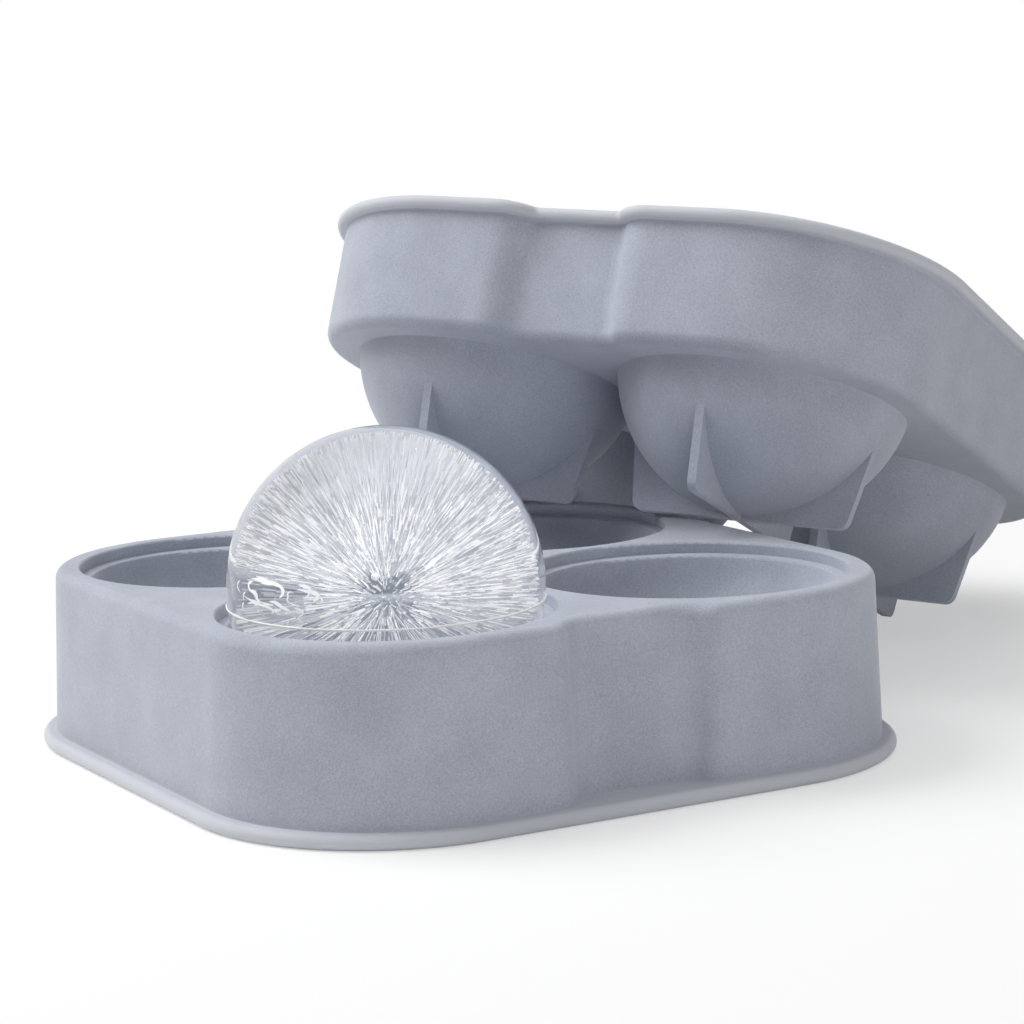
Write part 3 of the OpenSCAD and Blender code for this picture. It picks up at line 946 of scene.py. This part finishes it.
@dataclass
class Studio:
    """White floor, white surroundings, soft lamps and the camera."""

    azimuth: float = -29.61
    elevation: float = 8.91
    roll: float = -1.55
    distance: float = 465.13 * MM
    target_height: float = 20 * MM
    shift_right: float = -8.17 * MM
    shift_down: float = 14.87 * MM
    focal_px: float = 3063.97
    picture_px: int = 1024
    sensor_mm: float = 36.0
    clip_from: float = 0.01
    clip_to: float = 50.0
    # a key lamp behind to the left, two lamps above, and low strips in front and to the right
    lamps: tuple[Lamp, ...] = (
        Lamp("key", (-0.55, 0.57, 0.88), width=0.8, height=0.8, power=13.0),
        Lamp("top", (0.0, 0.12, 1.1), width=0.9, height=0.9, power=4.5),
        Lamp("brow", (-0.1, -0.62, 0.92), width=0.9, height=0.3, power=1.2),
        Lamp("front", (-0.15, -1.1, 0.08), width=1.0, height=0.14, power=2.6),
        Lamp("right", (0.9, -0.55, 0.07), width=0.6, height=0.12, power=0.5),
    )
    lamp_aim: tuple[float, float, float] = (0.02, 0.02, 0.03)
    world_soft: float = 0.12
    world_seen: float = 1.0
    floor_half: float = 6.0
    floor_bounce: tuple[float, float, float, float] = (0.88, 0.88, 0.88, 1)
    floor_tone: tuple[float, float, float, float] = (0.47, 0.47, 0.47, 1)
    floor_glow: float = 0.47
    floor_middle: tuple[float, float, float] = (0.05, 0.02, 0)
    fade_from: float = 0.17
    fade_to: float = 0.32

    def add_floor(self) -> None:
        """Lays a white floor that keeps the object's shadow."""
        material, tree, output = new_material("studio_paper")
        plain = add_node(tree, "ShaderNodeBsdfDiffuse", inputs={"Color": self.floor_bounce})
        pale = add_node(tree, "ShaderNodeBsdfDiffuse", inputs={"Color": self.floor_tone})
        glow = add_node(tree, "ShaderNodeEmission", inputs={"Color": WHITE, "Strength": self.floor_glow})
        near = add_node(tree, "ShaderNodeAddShader", inputs={0: pale.outputs[0], 1: glow.outputs[0]})
        # away from the object the paper is plain white, so no horizon shows
        place = add_node(tree, "ShaderNodeTexCoord").outputs["Object"]
        reach = add_node(tree, "ShaderNodeVectorMath", {"operation": "DISTANCE"}, {
            0: place, 1: self.floor_middle})
        fade = add_node(tree, "ShaderNodeMapRange", {"interpolation_type": "SMOOTHSTEP"}, {
            "Value": reach.outputs["Value"], "From Min": self.fade_from, "From Max": self.fade_to})
        white = add_node(tree, "ShaderNodeEmission", inputs={"Color": WHITE, "Strength": 1.0})
        shown = add_node(tree, "ShaderNodeMixShader", inputs={
            0: fade.outputs["Result"], 1: near.outputs[0], 2: white.outputs[0]})
        mix = add_node(tree, "ShaderNodeMixShader", inputs={
            0: seen_rays(tree), 1: plain.outputs[0], 2: shown.outputs[0]})
        tree.links.new(mix.outputs[0], output.inputs["Surface"])
        form = bmesh.new()
        half = self.floor_half
        corners = ((-half, -half), (half, -half), (half, half), (-half, half))
        form.faces.new([form.verts.new((x, y, 0)) for x, y in corners])
        finish_mesh(form, "floor", material)

    def add_world(self) -> None:
        """Surrounds the scene with white that lights the object softly."""
        world = bpy.data.worlds.new("studio_white")
        world.use_nodes = True
        tree = world.node_tree
        tree.nodes.clear()
        soft = add_node(tree, "ShaderNodeBackground", inputs={"Color": WHITE, "Strength": self.world_soft})
        white = add_node(tree, "ShaderNodeBackground", inputs={"Color": WHITE, "Strength": self.world_seen})
        mix = add_node(tree, "ShaderNodeMixShader", inputs={
            0: seen_rays(tree), 1: soft.outputs[0], 2: white.outputs[0]})
        output = add_node(tree, "ShaderNodeOutputWorld")
        tree.links.new(mix.outputs[0], output.inputs["Surface"])
        bpy.context.scene.world = world

    def add_lamp(self, lamp: Lamp) -> None:
        """Adds a soft lamp that faces the object and isn't mirrored in the ice.

        Args:
            lamp: The lamp's name, place, size and power.
        """
        light = bpy.data.lights.new(lamp.name, "AREA")
        light.shape = "RECTANGLE"
        light.size = lamp.width
        light.size_y = lamp.height
        light.energy = lamp.power
        item = bpy.data.objects.new(lamp.name, light)
        item.location = lamp.place
        way = Vector(self.lamp_aim) - Vector(lamp.place)
        item.rotation_euler = way.to_track_quat("-Z", "Y").to_euler()
        item.visible_glossy = False
        item.visible_transmission = False
        bpy.context.scene.collection.objects.link(item)

    def add_camera(self) -> None:
        """Stands the camera where the photograph was taken from."""
        a, e, r = (math.radians(v) for v in (self.azimuth, self.elevation, self.roll))
        back = Vector((math.sin(a) * math.cos(e), -math.cos(a) * math.cos(e), math.sin(e)))
        level = Vector((math.cos(a), math.sin(a), 0))
        rise = back.cross(level)
        right = level * math.cos(r) + rise * math.sin(r)
        up = rise * math.cos(r) - level * math.sin(r)
        target = Vector((0, 0, self.target_height))
        place = target + back * self.distance - right * self.shift_right + up * self.shift_down
        data = bpy.data.cameras.new("camera")
        data.sensor_fit = "HORIZONTAL"
        data.sensor_width = self.sensor_mm
        data.lens = self.focal_px / self.picture_px * self.sensor_mm
        data.clip_start = self.clip_from
        data.clip_end = self.clip_to
        item = bpy.data.objects.new("camera", data)
        turn = Matrix((right, up, back)).transposed().to_4x4()
        item.matrix_world = Matrix.Translation(place) @ turn
        bpy.context.scene.collection.objects.link(item)
        bpy.context.scene.camera = item

    def build(self) -> None:
        """Builds the whole studio."""
        self.add_floor()
        self.add_world()
        for lamp in self.lamps:
            self.add_lamp(lamp)
        self.add_camera()
        bpy.context.scene.view_settings.view_transform = "Standard"
        LOG.info("studio ready")


def main() -> None:
    """Dresses the mold, freezes the ball and sets the studio."""
    logging.basicConfig(level=logging.INFO, format="%(name)s: %(message)s")
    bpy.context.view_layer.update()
    Moulding("base_tray", BASE_RIM_WAY, BASE_BEAD).dress()
    Moulding("lid", LID_RIM_WAY, LID_BEAD).dress()
    IceBall().build()
    Studio().build()


if __name__ == "__main__":
    main()
